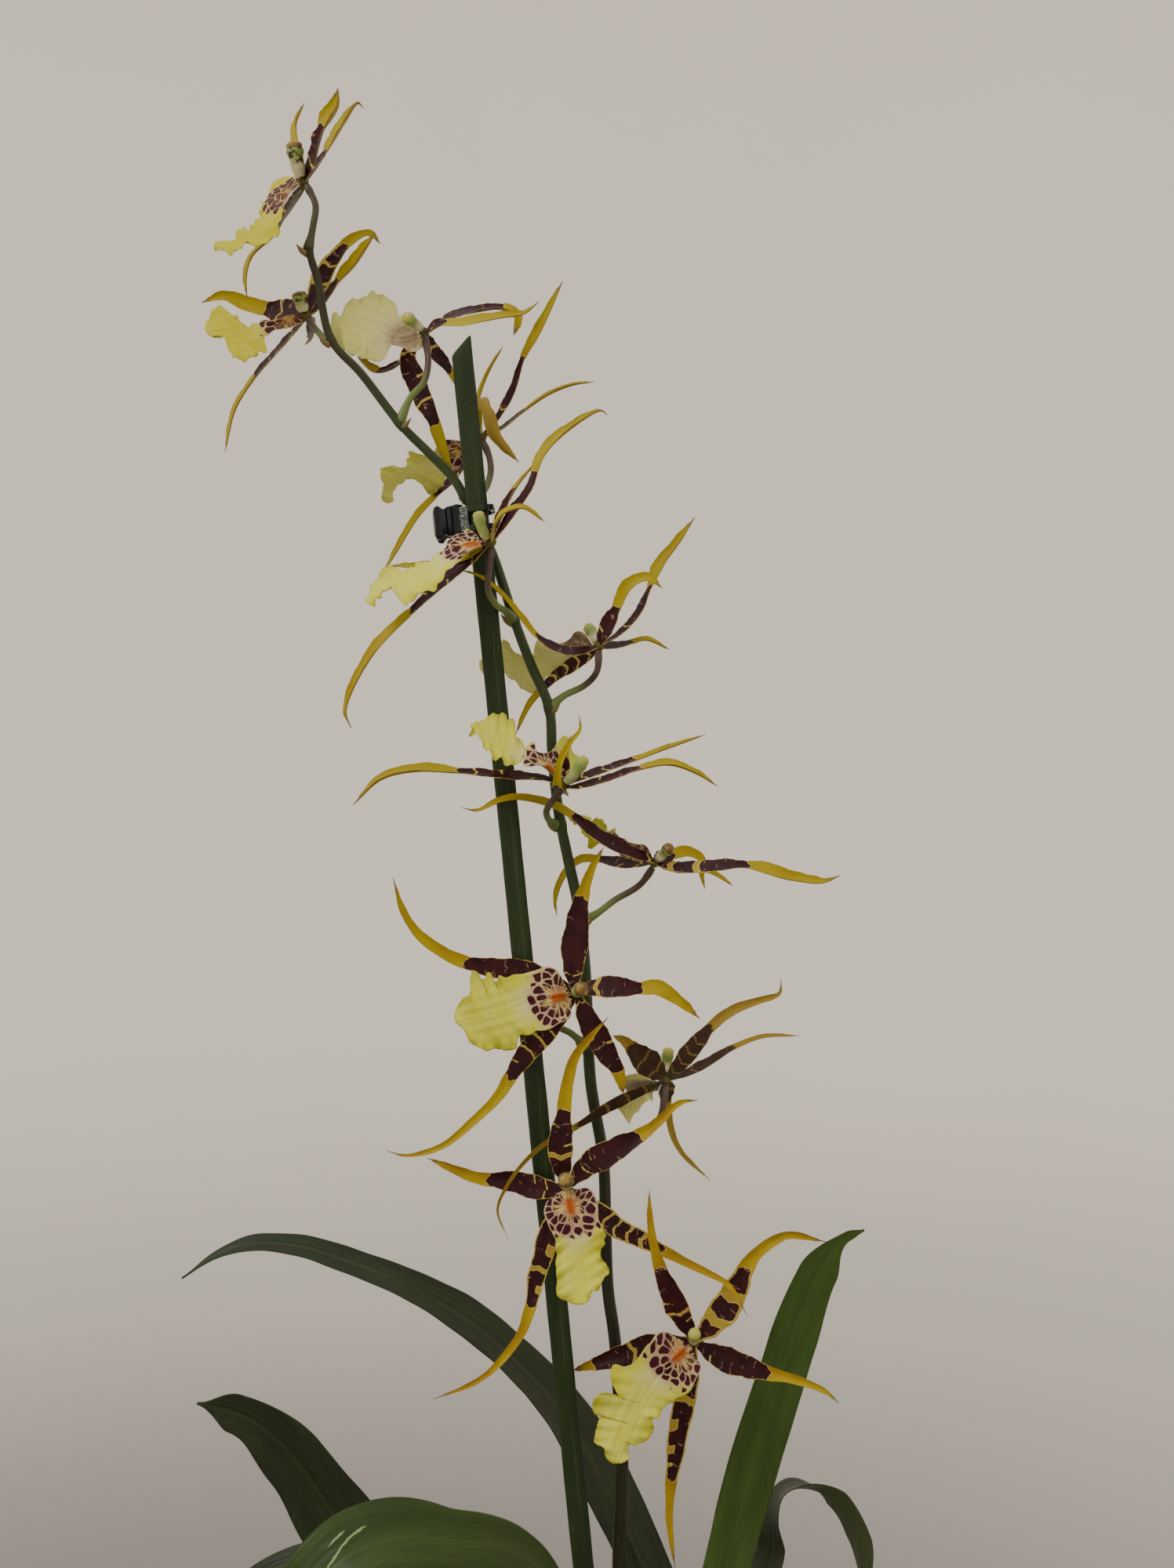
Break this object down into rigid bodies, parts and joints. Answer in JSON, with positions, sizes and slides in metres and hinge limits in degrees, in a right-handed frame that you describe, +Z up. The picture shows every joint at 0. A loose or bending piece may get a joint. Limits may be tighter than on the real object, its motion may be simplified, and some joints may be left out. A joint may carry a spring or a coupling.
{
  "type": "potted orchid",
  "caption": "Spider orchid in flower: a tall stem of long-tailed yellow and maroon blooms, clipped to a flat green stake, over strap leaves and pseudobulbs in a plain round pot of bark.",
  "frame": {"origin": "centre of the pot's flat base", "axes": "+Z up along the pot's axis; +X to the right and -Y to the front, from where the flowers face"},
  "size_m": [0.3344, 0.2827, 0.9164],
  "materials": {
    "tepal": "satin",
    "lip": "satin",
    "column": "satin",
    "stem": "satin",
    "leaf": "satin",
    "bulb": "satin",
    "bark": "matte",
    "pot": "matte",
    "stake": "satin",
    "clip": "gloss",
    "metal": "satin"
  },
  "bodies": {
    "plant": {"pot": "pot", "bark": "bark", "stake": "stake", "flower_stem": "stem", "pseudobulb_1": "bulb", "pseudobulb_2": "bulb", "pseudobulb_3": "bulb", "pseudobulb_4": "bulb", "leaf_a": "leaf", "leaf_b": "leaf", "leaf_c": "leaf", "leaf_d": "leaf", "leaf_e": "leaf", "leaf_f": "leaf", "leaf_g": "leaf", "leaf_h": "leaf", "bloom_01_tepals": "tepal", "bloom_01_lip": "lip", "bloom_01_column": "column", "bloom_02_tepals": "tepal", "bloom_02_lip": "lip", "bloom_02_column": "column", "bloom_03_tepals": "tepal", "bloom_03_lip": "lip", "bloom_03_column": "column", "bloom_04_tepals": "tepal", "bloom_04_lip": "lip", "bloom_04_column": "column", "bloom_05_tepals": "tepal", "bloom_05_lip": "lip", "bloom_05_column": "column", "bloom_06_tepals": "tepal", "bloom_06_lip": "lip", "bloom_06_column": "column", "bloom_07_tepals": "tepal", "bloom_07_lip": "lip", "bloom_07_column": "column", "bloom_08_tepals": "tepal", "bloom_08_lip": "lip", "bloom_08_column": "column", "bloom_09_tepals": "tepal", "bloom_09_lip": "lip", "bloom_09_column": "column", "bloom_10_tepals": "tepal", "bloom_10_lip": "lip", "bloom_10_column": "column", "bloom_11_tepals": "tepal", "bloom_11_lip": "lip", "bloom_11_column": "column", "bloom_12_tepals": "tepal", "bloom_12_lip": "lip", "bloom_12_column": "column", "clip_jaw_front": "clip", "clip_pin": "metal", "clip_spring": "metal"},
    "clip_jaw": {"clip_jaw_back": "clip"}
  },
  "joints": [
    {"name": "clip_hinge", "type": "hinge", "parent": "plant", "child": "clip_jaw", "pos_m": [-0.07765, 0.0036, 0.71583], "axis": [-0.0995, 0, 0.995], "range_deg": [0, 28], "stiffness_Nm_per_rad": 0.002, "springref_deg": -28.65}
  ]
}
